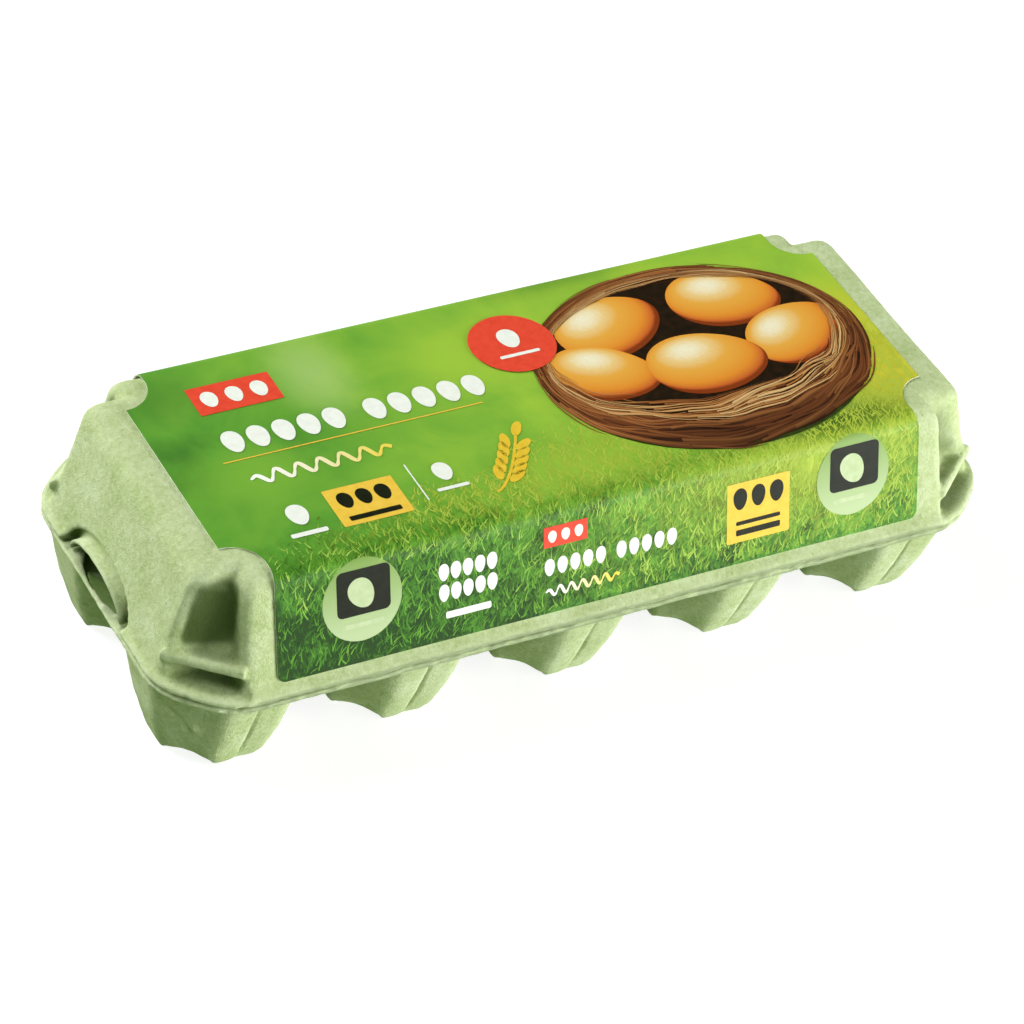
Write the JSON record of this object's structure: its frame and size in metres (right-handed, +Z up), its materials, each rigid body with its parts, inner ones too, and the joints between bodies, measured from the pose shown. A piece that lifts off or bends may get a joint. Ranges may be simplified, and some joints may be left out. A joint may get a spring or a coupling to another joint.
{
  "type": "egg carton",
  "caption": "Shut moulded-pulp egg carton with two rows of cups and a printed paper label wrapped over its lid.",
  "frame": {"origin": "on the ground under the middle of the carton", "axes": "+X along the carton's length, +Z up, -Y towards the front, where the label's front flap is"},
  "size_m": [0.2494, 0.11, 0.0662],
  "materials": {
    "pulp": "matte",
    "label_print": "satin"
  },
  "bodies": {
    "root": {"tray": "pulp", "lid": "pulp", "label": "label_print"}
  },
  "joints": []
}
